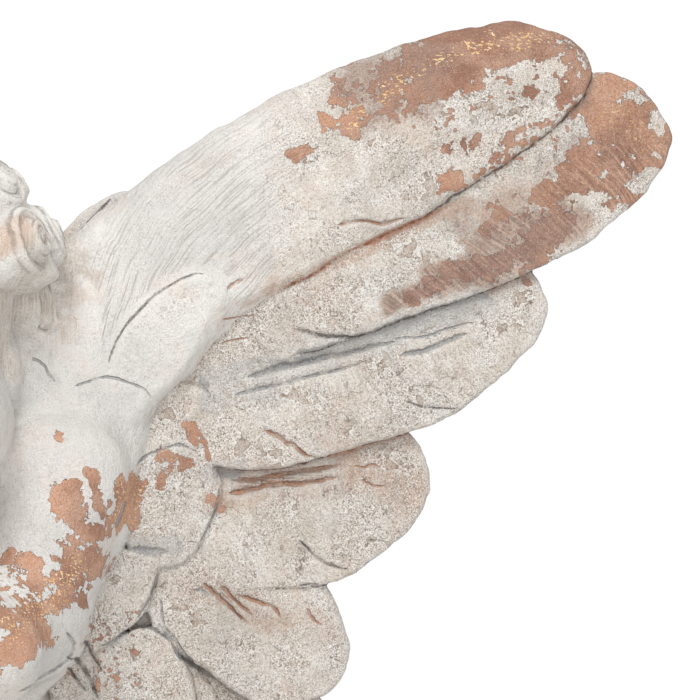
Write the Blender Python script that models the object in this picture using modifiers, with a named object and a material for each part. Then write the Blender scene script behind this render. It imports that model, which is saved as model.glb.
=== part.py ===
"""Angel sculpture: a winged child seated on a low rock, cast in one with its base.

Millimetre sizes, model in metres. X across the wings, -Y the way the angel faces, Z up,
origin at the middle of the flat underside.
"""
import math

import bmesh
import bpy
import numpy as np
from mathutils import Matrix
from mathutils import Vector

MM = 0.001

# ---------------------------------------------------------------- driving sizes, mm
VOXEL = 2.8               # fineness of the fused figure
FIGURE_SHARE = 0.052      # share of the fused figure's triangles that is kept
SPHERE_SEGMENTS = 24
SPHERE_RINGS = 14

SWEEP_START_X = 60.0      # the wings leave the back here
SWEEP_START_Y = 18.0
SWEEP_SLOPE = 0.16        # how far a wing goes back per millimetre outwards

BASE_HALF = (88.0, 78.0)
BASE_HEIGHT = 22.0
BASE_CENTRE_Y = -22.0

HEAD_CENTRE = (0.0, -26.0, 240.0)
HAIR_RADII = (55.0, 52.0, 53.0)
CURL_RADIUS = 12.5
CURL_ROWS = ((78.0, 3), (56.0, 9), (32.0, 13), (8.0, 15), (-16.0, 15), (-38.0, 12))

# One feather: root and tip on the wing (x, z), rise of the middle above the chord, half
# widths above and below at 0, 1/3, 2/3 and 0.9 of the length, thickness, how far the middle
# stands before the wing's own plane, and how far the lower edge leans forward.
FEATHERS = (
    ("arm", (52, 212), (242, 327), 13.0, (28, 31, 27, 24), (28, 30, 28, 25), 24.0, 5.0, 0.10),
    ("primary_2", (88, 232), (269, 306), 2.0, (22, 27, 28, 27), (18, 26, 29, 28), 14.0, 0.0, 0.14),
    ("primary_3", (84, 200), (226, 244), 1.0, (16, 24, 24, 20), (15, 29, 30, 27), 14.0, -2.0, 0.16),
    ("primary_4", (84, 166), (185, 184), 0.0, (18, 24, 24, 22), (14, 28, 31, 26), 14.0, -3.0, 0.18),
    ("primary_5", (88, 151), (154, 115), 1.0, (13, 21, 25, 22), (12, 19, 21, 19), 14.0, 3.0, 0.10),
    ("primary_6", (84, 132), (150, 84), 0.0, (14, 20, 21, 19), (12, 18, 20, 17), 13.0, -4.0, 0.10),
    ("primary_7", (76, 130), (120, 62), 0.0, (13, 18, 19, 16), (12, 17, 18, 16), 13.0, 2.0, 0.08),
    ("primary_8", (64, 120), (92, 48), 0.0, (12, 16, 17, 15), (12, 15, 16, 15), 12.0, 5.0, 0.06),
    ("primary_9", (54, 110), (66, 40), 0.0, (11, 14, 15, 13), (11, 14, 14, 13), 12.0, 7.0, 0.04),
    ("covert_1", (76, 204), (114, 252), 1.5, (12, 14, 14, 12), (10, 13, 12, 10), 15.0, 12.0, 0.05),
    ("covert_2", (58, 194), (89, 212), 0.0, (14, 15, 14, 11), (12, 14, 14, 11), 15.0, 13.0, 0.05),
    ("covert_3", (76, 190), (114, 214), 0.0, (12, 14, 13, 10), (12, 15, 14, 10), 15.0, 8.0, 0.05),
    ("covert_4", (72, 171), (115, 177), 0.0, (17, 18, 17, 14), (14, 17, 18, 15), 16.0, 10.0, 0.06),
    ("covert_5", (56, 162), (91, 139), 0.0, (13, 15, 14, 11), (13, 14, 13, 11), 16.0, 11.0, 0.04),
    ("covert_6", (48, 140), (70, 117), 0.0, (12, 13, 12, 10), (11, 12, 12, 10), 15.0, 13.0, 0.03),
    ("covert_7", (68, 142), (102, 112), 0.0, (12, 15, 15, 12), (11, 14, 14, 12), 15.0, 5.0, 0.03),
    ("back_lobe", (44, 226), (92, 287), 0.0, (14, 15, 14, 12), (14, 15, 14, 12), 12.0, -8.0, 0.0),
    ("web", (62, 96), (100, 226), 0.0, (24, 26, 24, 18), (22, 26, 26, 20), 15.0, 3.0, 0.0),
)
ROOT_TURNS = (35.0, 70.0)        # degrees round a feather's root end
BODY_STATIONS = (0.35, 0.68)     # shares of the straight part between the two round ends
TIP_TURNS = (5.0, 38.0, 66.0)    # degrees round its tip
FEATHER_AROUND = 10
WIDTH_STATIONS = (0.0, 1.0 / 3.0, 2.0 / 3.0, 0.9)
TIP_BLUNT = 1.15          # length of the round tip against the feather's half width


# ---------------------------------------------------------------- helpers
def smooth_widths(widths, u):
    """Half width at u along the feather, eased between its stations."""
    stations = WIDTH_STATIONS
    for k in range(len(stations) - 1):
        if u <= stations[k + 1]:
            t = (u - stations[k]) / (stations[k + 1] - stations[k])
            t = t * t * (3.0 - 2.0 * t)
            return widths[k] + (widths[k + 1] - widths[k]) * t
    return widths[-1]


def feather_stations(length, above, below):
    """Pairs of (u, width factor) from root to tip, both ends round."""
    root_half = 0.5 * (above[0] + below[0])
    tip_half = 0.5 * (above[-1] + below[-1])
    root_share = min(0.2, root_half / length)
    tip_share = min(0.42, TIP_BLUNT * tip_half / length)
    pairs = []
    for turn in ROOT_TURNS:
        angle = math.radians(turn)
        pairs.append((root_share * (1.0 - math.cos(angle)), math.sin(angle)))
    for share in BODY_STATIONS:
        pairs.append((root_share + share * (1.0 - root_share - tip_share), 1.0))
    for turn in TIP_TURNS:
        angle = math.radians(turn)
        pairs.append((1.0 - tip_share + tip_share * math.sin(angle), math.cos(angle)))
    return pairs


def feather_mesh(bm, side, root, tip, rise, above, below, thick, stand, lean):
    """Loft one feather out of oval sections across its middle line, closed by two end points."""
    rx, rz = root
    tx, tz = tip
    length = math.hypot(tx - rx, tz - rz)
    dx, dz = (tx - rx) / length, (tz - rz) / length
    nx, nz = -dz, dx
    if nz < 0.0:
        nx, nz = -nx, -nz

    def place(along, across, out):
        x = rx + dx * along + nx * across
        z = rz + dz * along + nz * across
        sweep = SWEEP_START_Y + SWEEP_SLOPE * (x - SWEEP_START_X)
        y = sweep - stand + lean * across - out
        return bm.verts.new(Vector((side * x, y, z)) * MM)

    rings = []
    for u, factor in feather_stations(length, above, below):
        upper = smooth_widths(above, u)
        lower = smooth_widths(below, u)
        middle = 4.0 * rise * u * (1.0 - u)
        half_thick = 0.5 * thick * (1.0 - 0.35 * u) * (0.35 + 0.65 * factor)
        ring = []
        for j in range(FEATHER_AROUND):
            angle = 2.0 * math.pi * j / FEATHER_AROUND
            c, s = math.cos(angle), math.sin(angle)
            across = c * factor * (upper if c > 0.0 else lower)
            out = math.copysign(abs(s) ** 0.8, s) * half_thick
            ring.append(place(u * length, middle + across, out))
        rings.append(ring)
    first = place(0.0, 0.0, 0.0)
    last = place(length, 0.0, 0.0)
    for a, b in zip(rings[:-1], rings[1:]):
        for j in range(FEATHER_AROUND):
            k = (j + 1) % FEATHER_AROUND
            bm.faces.new((a[j], a[k], b[k], b[j]))
    for j in range(FEATHER_AROUND):
        k = (j + 1) % FEATHER_AROUND
        bm.faces.new((first, rings[0][k], rings[0][j]))
        bm.faces.new((last, rings[-1][j], rings[-1][k]))


def unit_ball():
    """One ball of radius 1 m that every rounded mass is a copy of."""
    bm = bmesh.new()
    bmesh.ops.create_uvsphere(bm, u_segments=SPHERE_SEGMENTS, v_segments=SPHERE_RINGS, radius=1.0)
    mesh = bpy.data.meshes.new("unit_ball")
    bm.to_mesh(mesh)
    bm.free()
    return mesh


def ball(bm, centre, radii):
    """An ellipsoid."""
    mesh = UNIT_BALL.copy()
    size = Matrix.Diagonal((radii[0] * MM, radii[1] * MM, radii[2] * MM, 1.0))
    mesh.transform(Matrix.Translation(Vector(centre) * MM) @ size)
    bm.from_mesh(mesh)
    bpy.data.meshes.remove(mesh)


def limb(bm, start, end, start_radius, end_radius):
    """A tapered limb with round ends: a ball parted at its waist, each half on its own end."""
    first, last = Vector(start) * MM, Vector(end) * MM
    spin = (last - first).to_track_quat("Z", "Y").to_matrix()
    mesh = UNIT_BALL.copy()
    for vert in mesh.vertices:
        if vert.co.z > -1e-4:
            vert.co = last + spin @ vert.co * (end_radius * MM)
        else:
            vert.co = first + spin @ vert.co * (start_radius * MM)
    bm.from_mesh(mesh)
    bpy.data.meshes.remove(mesh)


def both(shape, bm, *points, **sizes):
    """The same shape on the left and on the right."""
    for side in (1.0, -1.0):
        placed = [(side * p[0], p[1], p[2]) for p in points]
        shape(bm, *placed, **sizes)


def new_object(name, bm, collection):
    mesh = bpy.data.meshes.new(name)
    bmesh.ops.recalc_face_normals(bm, faces=bm.faces[:])
    bm.to_mesh(mesh)
    bm.free()
    obj = bpy.data.objects.new(name, mesh)
    collection.objects.link(obj)
    return obj


# ---------------------------------------------------------------- start from an empty scene
for old in list(bpy.data.objects):
    bpy.data.objects.remove(old, do_unlink=True)

angel_parts = bpy.data.collections.new("angel_sculpture")
bpy.context.scene.collection.children.link(angel_parts)
cutters = bpy.data.collections.new("cutters")
bpy.context.scene.collection.children.link(cutters)

# ---------------------------------------------------------------- the seated figure
UNIT_BALL = unit_ball()
figure = bmesh.new()

# Low rocky base and the rock the child sits on.
ball(figure, (0, BASE_CENTRE_Y, 2), (BASE_HALF[0], BASE_HALF[1], BASE_HEIGHT))
base_lumps = 11
for i in range(base_lumps):
    angle = 2.0 * math.pi * (i + 0.5) / base_lumps
    lump = 19.0 + 3.0 * math.sin(2.7 * i)
    cx = (BASE_HALF[0] - 20.0) * math.cos(angle)
    cy = BASE_CENTRE_Y + (BASE_HALF[1] - 18.0) * math.sin(angle)
    ball(figure, (cx, cy, 1), (lump + 10.0, lump + 8.0, lump + 1.0))
ball(figure, (0, 18, 30), (64, 42, 44))
both(ball, figure, (36, 26, 24), radii=(34, 30, 32))

# Trunk under the robe.
ball(figure, (0, 8, 76), (49, 38, 32))
ball(figure, (0, 8, 118), (43, 32, 46))
ball(figure, (0, 10, 152), (48, 28, 30))
limb(figure, (-48, 4, 164), (48, 4, 164), 18, 18)
limb(figure, (0, 0, 160), (0, -18, 196), 27, 25)

# Legs drawn up under the robe, the cloth filling between them down to the base.
both(limb, figure, (25, 2, 72), (29, -70, 94), start_radius=28, end_radius=21)
both(limb, figure, (29, -70, 94), (30, -80, 28), start_radius=21, end_radius=25)
both(limb, figure, (28, 6, 46), (29, -66, 50), start_radius=32, end_radius=26)
ball(figure, (0, -60, 62), (34, 28, 46))
ball(figure, (0, -34, 108), (36, 32, 34))
both(ball, figure, (46, -46, 26), radii=(26, 42, 24))
ball(figure, (0, -88, 24), (40, 20, 18))
both(limb, figure, (24, -92, 22), (25, -111, 19), start_radius=12, end_radius=10)

# Arms: elbows on the knees, hands folded under the chin.
both(limb, figure, (57, -2, 156), (41, -50, 131), start_radius=23, end_radius=18)
both(limb, figure, (41, -52, 130), (13, -80, 160), start_radius=17, end_radius=12)
both(ball, figure, (7, -84, 167), radii=(14, 14, 14))
both(limb, figure, (-2, -94, 162), (9, -86, 174), start_radius=8, end_radius=8)
both(limb, figure, (34, -14, 146), (20, -52, 136), start_radius=20, end_radius=16)
ball(figure, (0, -40, 158), (24, 26, 26))
ball(figure, (0, -62, 174), (20, 22, 16))

# Head with a plain, calm child's face.
hx, hy, hz = HEAD_CENTRE
ball(figure, (hx, hy, hz), (49, 50, 56))
ball(figure, (hx, hy - 16, hz - 32), (44, 36, 32))
both(ball, figure, (24, -56, 204), radii=(21, 20, 21))
ball(figure, (hx, -68, 186), (17, 13, 12))
ball(figure, (hx, -80, 214), (7, 9, 8))
limb(figure, (hx, -74, 232), (hx, -82, 216), 5, 6.5)
ball(figure, (hx, -75, 199), (11, 6, 5))

# Short curly hair: rows of curls round the crown and down to the nape.
for tier, (lift, count) in enumerate(CURL_ROWS):
    elevation = math.radians(lift)
    for i in range(count):
        turn = 2.0 * math.pi * (i + 0.5 * (tier % 2)) / count
        px = math.cos(elevation) * math.sin(turn)
        py = -math.cos(elevation) * math.cos(turn)
        pz = math.sin(elevation)
        if py < -0.55 and pz < 0.42:
            continue
        grow = CURL_RADIUS * (1.0 + 0.10 * math.sin(5.0 * i + 2.0 * tier))
        spot = (hx + px * (HAIR_RADII[0] - 5.0), hy + py * (HAIR_RADII[1] - 5.0),
                hz + 4.0 + pz * (HAIR_RADII[2] - 5.0))
        ball(figure, spot, (grow, grow, grow * 0.92))

# Wing roots growing out of the shoulders and shoulder blades.
both(limb, figure, (18, 26, 138), (66, 18, 188), start_radius=20, end_radius=18)
both(limb, figure, (18, 26, 186), (60, 17, 232), start_radius=18, end_radius=21)
both(limb, figure, (26, 28, 92), (60, 20, 138), start_radius=14, end_radius=16)
both(limb, figure, (52, 8, 172), (62, 14, 226), start_radius=21, end_radius=19)
both(ball, figure, (40, 16, 150), radii=(34, 22, 46))
both(ball, figure, (38, 12, 206), radii=(28, 20, 36))
both(ball, figure, (68, 12, 166), radii=(18, 14, 24))

angel = new_object("angel", figure, angel_parts)

fuse = angel.modifiers.new("fuse", "REMESH")
fuse.mode = "VOXEL"
fuse.voxel_size = VOXEL * MM
soften = angel.modifiers.new("soften", "SMOOTH")
soften.factor = 0.5
soften.iterations = 4
thin = angel.modifiers.new("thin", "DECIMATE")
thin.ratio = FIGURE_SHARE
thin.use_symmetry = True
thin.symmetry_axis = "X"

# ---------------------------------------------------------------- the two wings
def join_on(whole, part, label, operation="UNION"):
    """One clean solid out of two closed ones that run into each other."""
    join = whole.modifiers.new(label, "BOOLEAN")
    join.operation = operation
    join.solver = "MANIFOLD"
    join.object = part


for side, label in ((1.0, "left"), (-1.0, "right")):
    wing = None
    for spec in FEATHERS:
        feather_bm = bmesh.new()
        feather_mesh(feather_bm, side, *spec[1:])
        feather = new_object(label + "_" + spec[0], feather_bm, cutters)
        feather.hide_render = True
        feather.display_type = "WIRE"
        if wing is None:
            wing = feather
        else:
            join_on(wing, feather, spec[0])
    join_on(angel, wing, label + "_wing")

# ---------------------------------------------------------------- the flat underside
ground_bm = bmesh.new()
bmesh.ops.create_cube(ground_bm, size=1.0, matrix=Matrix.Translation((0.0, 0.0, -0.5)))
ground = new_object("ground", ground_bm, cutters)
ground.hide_render = True
ground.display_type = "WIRE"
join_on(angel, ground, "flat_underside", "DIFFERENCE")

# ---------------------------------------------------------------- material
coat = bpy.data.materials.new("whitewashed_terracotta")
coat.use_nodes = True
shader = coat.node_tree.nodes["Principled BSDF"]
shader.inputs["Base Color"].default_value = (0.70, 0.64, 0.56, 1.0)
shader.inputs["Roughness"].default_value = 0.9
coat.diffuse_color = (0.70, 0.64, 0.56, 1.0)
angel.data.materials.append(coat)
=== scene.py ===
"""Looks of the angel sculpture: the wings feather by feather, the seated child, and the flaking whitewash."""
import itertools
import math

import bpy
import numpy as np
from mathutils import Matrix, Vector


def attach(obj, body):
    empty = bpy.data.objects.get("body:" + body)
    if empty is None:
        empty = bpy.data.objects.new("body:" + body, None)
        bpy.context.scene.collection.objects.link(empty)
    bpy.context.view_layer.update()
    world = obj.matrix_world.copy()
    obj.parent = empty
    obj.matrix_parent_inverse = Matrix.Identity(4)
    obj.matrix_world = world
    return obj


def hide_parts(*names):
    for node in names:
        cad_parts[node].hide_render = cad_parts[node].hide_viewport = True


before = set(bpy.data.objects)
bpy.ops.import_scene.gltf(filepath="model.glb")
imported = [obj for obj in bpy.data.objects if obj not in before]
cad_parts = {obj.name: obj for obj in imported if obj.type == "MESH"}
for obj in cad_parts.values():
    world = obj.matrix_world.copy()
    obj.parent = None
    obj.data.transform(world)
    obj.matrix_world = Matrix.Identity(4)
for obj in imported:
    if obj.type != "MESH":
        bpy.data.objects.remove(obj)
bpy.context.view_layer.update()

MM = 0.001
CORNERS = list(itertools.product((0, 1), repeat=3))

# ------------------------------------------------------------------ noise in millimetres


def lattice(ix, iy, iz, seed):
    """A fixed random number, -1..1, at each whole-number place."""
    n = np.uint32((seed * 0x9E3779B9) & 0xFFFFFFFF)
    for i, prime in zip((ix, iy, iz), (0x8DA6B343, 0xD8163841, 0xCB1AB31F)):
        n = n ^ (i.astype(np.uint32) * np.uint32(prime))
    for shift, factor in ((13, 0x85EBCA6B), (16, 0xC2B2AE35), (15, 1)):
        n = (n ^ (n >> np.uint32(shift))) * np.uint32(factor)
    return n.astype(np.float32) * np.float32(2 / 4294967295) - np.float32(1)


def noise(x, y, z, scale, seed=0):
    """Smooth value noise, -1..1, with features about `scale` mm wide."""
    p = [np.asarray(v, np.float32) / np.float32(scale) + np.float32(1000) for v in (x, y, z)]
    i = [np.floor(v).astype(np.int64) for v in p]
    f = [(v - n).astype(np.float32) for v, n in zip(p, i)]
    f = [v * v * v * (v * (v * 6 - 15) + 10) for v in f]
    total = 0
    for corner in CORNERS:
        wx, wy, wz = [v if far else 1 - v for v, far in zip(f, corner)]
        total = total + wx * wy * wz * lattice(*[n + far for n, far in zip(i, corner)], seed)
    return total


def smooth(a, b, v):
    """0 at a, 1 at b, with a soft start and end."""
    t = np.clip((v - a) / (b - a), 0, 1)
    return t * t * (3 - 2 * t)


def ridges(wave):
    """Rounded ridges with sharp valleys, -1..1, out of a running phase."""
    return 2 * np.abs(np.sin(wave)) ** 0.8 - 1


def to_line(x, z, points):
    """Distance to a polyline, how far along it the nearest point is (0..1), and on which side."""
    pts = np.array(points, np.float32)
    lengths = np.linalg.norm(pts[1:] - pts[:-1], axis=1)
    best = np.full(np.shape(x), 1e9, np.float32)
    along = np.zeros(np.shape(x), np.float32)
    side = np.zeros(np.shape(x), np.float32)
    start = 0
    for a, b, length in zip(pts[:-1], pts[1:], lengths):
        d = (b - a) / length
        px, pz = x - a[0], z - a[1]
        s = np.clip(px * d[0] + pz * d[1], 0, length)
        qx, qz = px - s * d[0], pz - s * d[1]
        distance = np.sqrt(qx * qx + qz * qz)
        near = distance < best
        best = np.where(near, distance, best)
        along = np.where(near, (start + s) / lengths.sum(), along)
        side = np.where(near, np.sign(d[0] * pz - d[1] * px), side)
        start += length
    return best, along, side


def to_outline(x, z, polygon):
    """Signed distance to a closed outline, positive inside."""
    best = np.full(x.shape, 1e9, np.float32)
    inside = np.zeros(x.shape, bool)
    for (ax, az), (bx, bz) in zip(polygon, np.roll(polygon, -1, axis=0)):
        dx, dz = bx - ax, bz - az
        t = np.clip(((x - ax) * dx + (z - az) * dz) / (dx * dx + dz * dz + 1e-9), 0, 1)
        best = np.minimum(best, (x - ax - t * dx) ** 2 + (z - az - t * dz) ** 2)
        if dz:
            inside ^= ((az > z) != (bz > z)) & (x < ax + (z - az) * dx / dz)
    return np.where(inside, 1, -1).astype(np.float32) * np.sqrt(best)


def curve_through(points, closed, steps):
    """A smooth curve through given points."""
    p = np.array(points, float)
    p = np.concatenate([p[-1:], p, p[:2]] if closed else [p[:1], p, p[-1:]])
    t = (np.arange(steps) / steps)[:, None]
    out = []
    for a, b, c, d in zip(p, p[1:], p[2:], p[3:]):
        bend, twist = 2 * a - 5 * b + 4 * c - d, 3 * b - a - 3 * c + d
        out.append(0.5 * (2 * b + (c - a) * t + bend * t * t + twist * t ** 3))
    return np.concatenate(out if closed else out + [p[-1:]])


# ------------------------------------------------------------------ the feathers, left wing, mm
# Middle line root to tip as four control points (x, z); half widths above and below at
# 0, 1/3, 2/3 and 0.9 of the length; share of the length that rounds off at the tip, above and
# below; thickness; stand before the wing's plane at root and tip; lean of the lower edge.
FEATHERS = {
    "arm": (((56, 170), (56, 240), (118, 286), (242, 326)), (20, 30, 31, 27), (8, 27, 29, 25),
            (0.16, 0.34), 24, (19, 0.3), 0.04),
    "primary_2": (((88, 232), (150, 256), (210, 284), (269, 306)), (22, 27, 28, 27), (18, 27, 30, 28),
                  (0.12, 0.32), 14, (1, 0), 0.06),
    "primary_3": (((84, 200), (130, 217), (180, 232), (226, 246)), (16, 24, 24, 20), (15, 29, 31, 28),
                  (0.12, 0.45), 13, (4, 0), 0.08),
    "primary_4": (((84, 166), (118, 172), (152, 178), (185, 185)), (18, 24, 24, 22), (14, 28, 31, 28),
                  (0.16, 0.48), 13, (3, -1), 0.1),
    "primary_5": (((88, 151), (110, 141), (132, 127), (154, 114)), (13, 21, 26, 23), (12, 19, 22, 20),
                  (0.34, 0.36), 13, (6, 2), 0.08),
    "primary_6": (((84, 132), (106, 116), (128, 100), (150, 84)), (14, 20, 21, 19), (12, 18, 20, 17),
                  (0.35, 0.35), 12, (-4, -4), 0.1),
    "primary_7": (((76, 130), (91, 107), (106, 84), (120, 62)), (13, 18, 19, 16), (12, 17, 18, 16),
                  (0.35, 0.35), 12, (0, 0), 0.08),
    "primary_8": (((64, 120), (73, 96), (82, 72), (92, 48)), (12, 16, 17, 15), (12, 15, 16, 15),
                  (0.35, 0.35), 12, (4, 4), 0.06),
    "primary_9": (((54, 110), (58, 86), (62, 64), (66, 40)), (11, 14, 15, 13), (11, 14, 14, 13),
                  (0.35, 0.35), 12, (7, 7), 0.04),
    "back_lobe": (((44, 226), (58, 244), (72, 262), (86, 281)), (14, 15, 14, 12), (14, 15, 14, 12),
                  (0.4, 0.4), 11, (-3, -6), 0),
    "web": (((62, 96), (74, 140), (86, 184), (100, 226)), (24, 26, 24, 18), (22, 26, 26, 20),
            (0.3, 0.3), 15, (1, 1), 0),
}

# Coverts that lie on the wing like paving: outline points (x, z), distance of the front before the
# origin's plane at x = 55 and how fast it falls back outwards, thickness, softness of the joint.
COVERTS = {
    "inner_wing": (((40, 112), (40, 246), (60, 262), (86, 276), (106, 262), (114, 251), (112, 241),
                    (107, 231), (103, 224), (96, 216), (91, 207), (89, 198), (86, 188), (84, 176), (82, 165),
                    (77, 154), (71, 144), (68, 131), (60, 119)), 12, 0.4, 22, 8),
    "covert_1": (((90, 211), (84, 204), (78, 210), (78, 222), (82, 234), (88, 242), (95, 248), (103, 253),
                  (110, 253), (115, 249), (113, 241), (108, 233), (104, 225), (97, 217)), 13, 0.38, 20, 4),
    "covert_3": (((84, 188), (86, 204), (92, 214), (102, 216), (110, 213), (114, 204), (114, 194), (108, 186),
                  (96, 184)), 8.5, 0.45, 16, 1.2),
    "covert_4": (((84, 186), (88, 191), (94, 194), (101, 195), (107, 192), (112, 187), (114, 181), (113, 174),
                  (110, 168), (106, 160), (99, 155), (90, 155), (83, 160), (80, 168), (82, 178)),
                 9, 0.45, 18, 0.9),
    "covert_5": (((74, 156), (84, 161), (92, 158), (92, 149), (89, 140), (84, 134), (77, 129), (70, 127),
                  (64, 132), (64, 142), (68, 150)), 8.6, 0.42, 18, 1.2),
    "covert_6": (((44, 132), (58, 138), (66, 135), (68, 130), (65, 124), (58, 118), (50, 114), (42, 114)),
                 8.5, 0.36, 18, 0.8),
    "covert_7": (((58, 120), (64, 128), (70, 131), (76, 127), (80, 116), (82, 104), (76, 98), (66, 102),
                  (58, 110)), 3.5, 0.34, 16, 0.9),
    "covert_8": (((72, 124), (77, 130), (83, 133), (89, 134), (95, 130), (101, 121), (105, 109), (103, 92),
                  (92, 84), (80, 88), (73, 104)), 6.5, 0.42, 16, 0.6),
}

# Carved lines anywhere on a wing's front: points (x, z), half width, depth, what settled in them.
GROOVES = (
    # topmost feather: fold of its lower edge, hollow along it
    (((152, 270), (160, 272), (168, 271), (178, 273)), 0.6, 1.4, "rust"),
    (((236, 318), (205, 303), (176, 288), (150, 274)), 5, 2.4, "none"),
    (((150, 300), (135, 282), (118, 262)), 8, 1.6, "none"),
    # second feather
    (((137, 235), (145, 233), (152, 232), (160, 232)), 0.8, 1.8, "dark"),
    (((250, 300), (215, 285), (180, 272), (150, 262)), 5, 1.2, "none"),
    (((113, 238), (120, 239), (128, 240)), 0.3, 0.3, "rust"),
    (((113, 230), (119, 231), (125, 232)), 0.35, 0.4, "rust"),
    (((115, 247), (118, 250), (122, 252)), 0.6, 0.8, "rust"),
    # third feather: quill between two grooves
    (((119, 217), (131, 221), (145, 224), (159, 227), (177, 231)), 1.15, 2.4, "grey"),
    (((170, 231), (182, 232), (192, 235), (203, 238)), 0.45, 0.6, "grey"),
    (((114, 211), (126, 214), (142, 218), (154, 221), (168, 225)), 0.75, 1.5, "grey"),
    (((173, 226), (182, 227), (192, 231), (200, 234)), 1, 1, "grey"),
    (((127, 201), (135, 197), (142, 192), (148, 191)), 0.9, 1.8, "rust"),
    (((176, 211), (183, 208), (192, 207), (196, 208)), 0.5, 1.2, "dark"),
    # fourth feather
    (((115, 183), (131, 184), (142, 186), (157, 188)), 0.95, 2.2, "rust"),
    (((113, 178), (129, 181), (144, 182), (156, 184)), 1, 2.6, "rust"),
    (((158, 188), (162, 187), (166, 188), (169, 185)), 0.4, 0.6, "rust"),
    (((160, 183), (166, 181), (171, 180)), 0.4, 0.5, "rust"),
    (((138, 163), (143, 159), (147, 156), (154, 153), (159, 152)), 0.55, 1.4, "dark"),
    (((163, 162), (170, 161)), 0.4, 0.9, "dark"),
    (((140, 147), (147, 147)), 0.4, 0.9, "dark"),
    # fifth feather
    (((106, 149), (111, 145), (116, 141), (124, 133)), 0.7, 1.9, "rust"),
    (((113, 148), (119, 142), (125, 136)), 0.7, 1.8, "rust"),
    (((118, 145), (126, 141), (131, 139), (135, 135)), 0.6, 1.3, "rust"),
    (((93, 146), (94, 136), (98, 127), (105, 119), (116, 112)), 0.6, 0.9, "grey"),
    (((142, 139), (146, 134), (149, 133)), 0.5, 0.9, "rust"),
    (((104, 146), (107, 146), (110, 144)), 0.8, 0.5, "grey"),
    # coverts
    (((75, 218), (77, 225), (81, 234), (87, 241), (93, 247), (102, 252), (107, 253), (113, 252)),
     0.42, 0.9, "dark"),
    (((64, 215), (70, 217), (77, 218), (84, 216), (89, 213), (92, 210)), 0.45, 0.8, "grey"),
    (((85, 187), (88, 191), (94, 194), (101, 195), (107, 192)), 0.5, 1, "grey"),
    (((83, 178), (80, 168)), 0.6, 0.7, "grey"),
    (((113, 182), (112, 174), (109, 167), (105, 160)), 0.38, 0.8, "grey"),
    (((84, 162), (90, 159), (97, 160)), 1.8, 0.5, "grey"),
    (((92, 153), (91, 147), (89, 142), (85, 136)), 0.45, 0.9, "grey"),
    (((84, 134), (78, 130), (71, 127)), 0.35, 0.6, "grey"),
    (((64, 138), (67, 132), (65, 126), (58, 121), (50, 117)), 0.5, 1.2, "grey"),
    (((68, 131), (71, 125), (74, 119)), 0.65, 1.3, "dark"),
    (((65, 128), (69, 118), (74, 108)), 0.7, 1.3, "dark"),
    (((63, 123), (66, 117), (69, 112)), 0.6, 1, "dark"),
    (((78, 129), (83, 133), (89, 134), (95, 130), (102, 121)), 0.5, 1.3, "grey"),
    (((90, 135), (97, 131), (104, 121), (110, 114)), 0.5, 0.8, "grey"),
    (((64, 267), (70, 273), (76, 280)), 0.5, 1.1, "dark"),
    (((49, 226), (56, 222), (60, 216)), 0.6, 0.7, "grey"),
)
NO_CUT = 8  # distance to a carved line, in half widths, where there is none near

# Crumbs and drips of plaster left standing: place (x, z), radius, height.
CRUMBS = (
    (164, 226, 1.6, 1.6), (205, 252, 1.8, 1.9), (200, 249, 1.2, 1), (169, 214, 1.5, 1.1),
    (168, 206, 2.2, 0.8), (152, 243, 3, 0.8), (149, 237, 2.4, 0.7), (126, 206, 1.6, 0.9),
    (118, 196, 2, 0.8), (178, 229, 2.2, 0.7), (186, 222, 2, 0.8), (190, 216, 2.6, 0.6),
    (142, 188, 1.6, 0.9), (170, 192, 1.4, 0.9), (112, 139, 1.4, 0.9), (126, 124, 1.3, 0.9),
    (134, 132, 1.2, 0.8), (104, 206, 1.4, 0.7), (96, 176, 1.8, 0.6), (90, 128, 1.2, 0.8),
    (68, 152, 1.6, 0.5), (218, 303, 2.2, 0.7), (208, 300, 2, 0.7), (228, 290, 2.2, 0.6),
    (196, 262, 1.8, 0.7), (120, 258, 1.3, 0.5), (136, 268, 1.4, 0.5), (186, 178, 1.6, 0.7),
    (176, 168, 1.5, 0.6), (150, 172, 1.3, 0.6),
)


def crumb_relief(x, z):
    """Height of the crumbs of plaster at (x, z)."""
    out = np.zeros(x.shape, np.float32)
    for cx, cz, radius, height in CRUMBS:
        near = (np.abs(x - cx) < 2.5 * radius) & (np.abs(z - cz) < 2.5 * radius)
        spread = ((x[near] - cx) ** 2 + (z[near] - cz) ** 2) / radius ** 2
        out[near] += height * np.exp(-spread ** 1.6)
    return out


def groove_relief(x, z):
    """Depth of the carved lines at (x, z), and the signed distance to each kind in half widths."""
    depth = np.zeros(x.shape, np.float32)
    cuts = np.full(x.shape + (3,), NO_CUT, np.float32)
    for points, width, deep, tint in GROOVES:
        reach = 5 + 2.5 * width
        low, high = np.min(points, axis=0) - reach, np.max(points, axis=0) + reach
        near = (x > low[0]) & (x < high[0]) & (z > low[1]) & (z < high[1])
        if not near.any():
            continue
        gx, gz = x[near], z[near]
        wander = 0.5 * noise(gx, gz, gx * 0, 5, 31) + 0.2 * noise(gx, gz, gx * 0, 2, 32)
        d, s, side = to_line(gx + wander, gz + wander, curve_through(points, closed=False, steps=4))
        taper = np.minimum(smooth(-0.02, 0.2, s), smooth(1.02, 0.75, s))
        w = width * (0.3 + 0.7 * taper) * (1 + 0.3 * noise(gx, gz, gx * 0, 6, 33))
        q = d / w
        cut = np.exp(-(q ** 2)) * taper
        lip = 0.16 * np.exp(-(((q - 2.1) / 0.8) ** 2)) * taper
        depth[near] -= 0.75 * deep * (cut - lip)
        if tint != "none":
            kind = ("dark", "grey", "rust").index(tint)
            fade = 3 * (1 - smooth(0, 0.12, np.minimum(s, 1 - s)))
            new = side * (q + fade)
            old = cuts[near, kind]
            cuts[near, kind] = np.where(np.abs(new) < np.abs(old), new, old)
    return depth, cuts


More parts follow.
